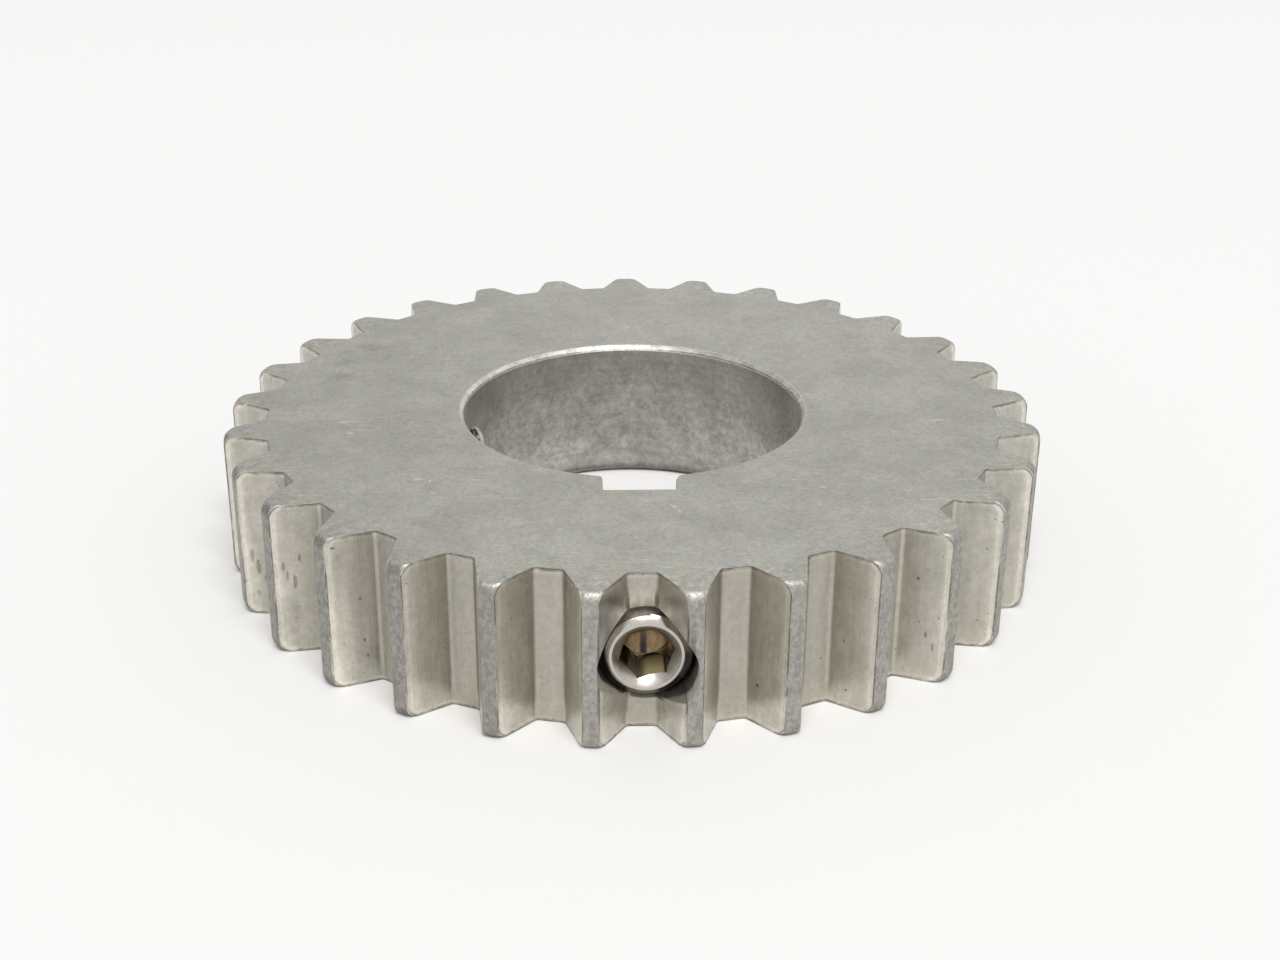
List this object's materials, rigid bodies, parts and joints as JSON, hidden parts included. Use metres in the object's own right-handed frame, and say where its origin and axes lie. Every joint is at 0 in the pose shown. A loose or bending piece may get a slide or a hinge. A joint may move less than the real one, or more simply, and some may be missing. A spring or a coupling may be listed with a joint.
{
  "type": "chain sprocket",
  "caption": "Hubless toothed sprocket ring with straight-sided teeth, a keyed bore and a hexagon socket set screw in a tooth space over the keyway.",
  "frame": {"origin": "the middle of the bore, on its axis and halfway through the face width", "axes": "+Z along the bore's axis and up from the flat face that it rests on; -Y towards the keyway and the set screw"},
  "size_m": [0.0762, 0.0761, 0.0142],
  "materials": {
    "sprocket_steel": "tumbled matte grey faces, with brighter cut flanks and tooth roots",
    "screw_steel": "polished turned steel, oily inside the socket"
  },
  "bodies": {
    "root": {"sprocket": "sprocket_steel", "set_screw": "screw_steel"}
  },
  "joints": []
}
